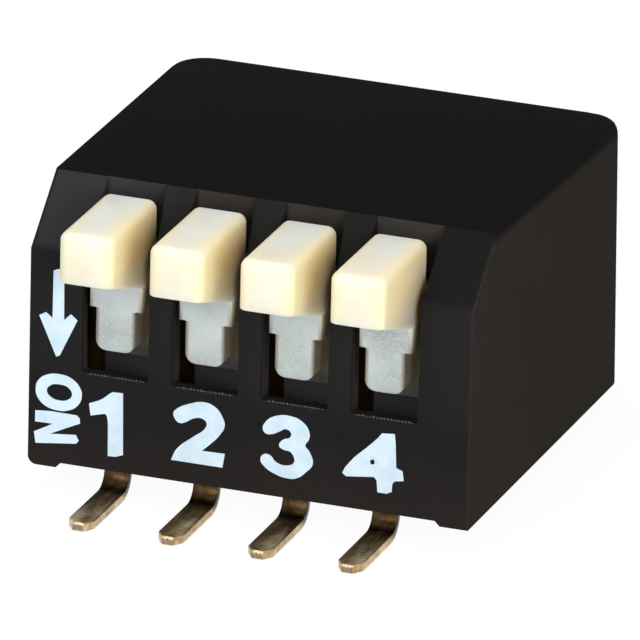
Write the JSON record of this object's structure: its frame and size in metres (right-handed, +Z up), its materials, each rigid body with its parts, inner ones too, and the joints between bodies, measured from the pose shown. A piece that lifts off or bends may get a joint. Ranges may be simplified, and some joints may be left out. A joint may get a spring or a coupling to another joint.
{
  "type": "dip switch",
  "caption": "Piano-style DIP switch with side-operated rocking levers in a sloped black housing and gull-wing leads for surface mounting.",
  "frame": {"origin": "on the board, at the middle of the overall footprint, from the tips of the front leads to the tips of the rear leads", "axes": "+Z up from the board, +X along the row of levers, -Y towards the side that the levers stick out of"},
  "size_m": [0.0126, 0.0176, 0.0084],
  "materials": {
    "cover": "fine moulded satin",
    "base": "fine moulded satin",
    "lever": "natural nylon, satin",
    "spring": "drawn wire",
    "contact": "gold plated, polished",
    "lead": "gold plated strip, satin"
  },
  "bodies": {
    "housing": {"cover": "cover", "base": "base", "terminal_front_1": "lead", "terminal_front_2": "lead", "terminal_front_3": "lead", "terminal_front_4": "lead", "terminal_rear_1": "lead", "terminal_rear_2": "lead", "terminal_rear_3": "lead", "terminal_rear_4": "lead"},
    "lever_1": {"actuator_1": "lever", "contact_spring_1": "spring", "contact_ball_1": "contact"},
    "lever_2": {"actuator_2": "lever", "contact_spring_2": "spring", "contact_ball_2": "contact"},
    "lever_3": {"actuator_3": "lever", "contact_spring_3": "spring", "contact_ball_3": "contact"},
    "lever_4": {"actuator_4": "lever", "contact_spring_4": "spring", "contact_ball_4": "contact"}
  },
  "joints": [
    {"name": "lever_1_tilt", "type": "hinge", "parent": "housing", "child": "lever_1", "pos_m": [-0.00381, -0.00122, 0.00634], "axis": [1, 0, 0], "range_deg": [0, 8.5]},
    {"name": "lever_2_tilt", "type": "hinge", "parent": "housing", "child": "lever_2", "pos_m": [-0.00127, -0.00122, 0.00634], "axis": [1, 0, 0], "range_deg": [0, 8.5]},
    {"name": "lever_3_tilt", "type": "hinge", "parent": "housing", "child": "lever_3", "pos_m": [0.00127, -0.00122, 0.00634], "axis": [1, 0, 0], "range_deg": [0, 8.5]},
    {"name": "lever_4_tilt", "type": "hinge", "parent": "housing", "child": "lever_4", "pos_m": [0.00381, -0.00122, 0.00634], "axis": [1, 0, 0], "range_deg": [0, 8.5]}
  ]
}
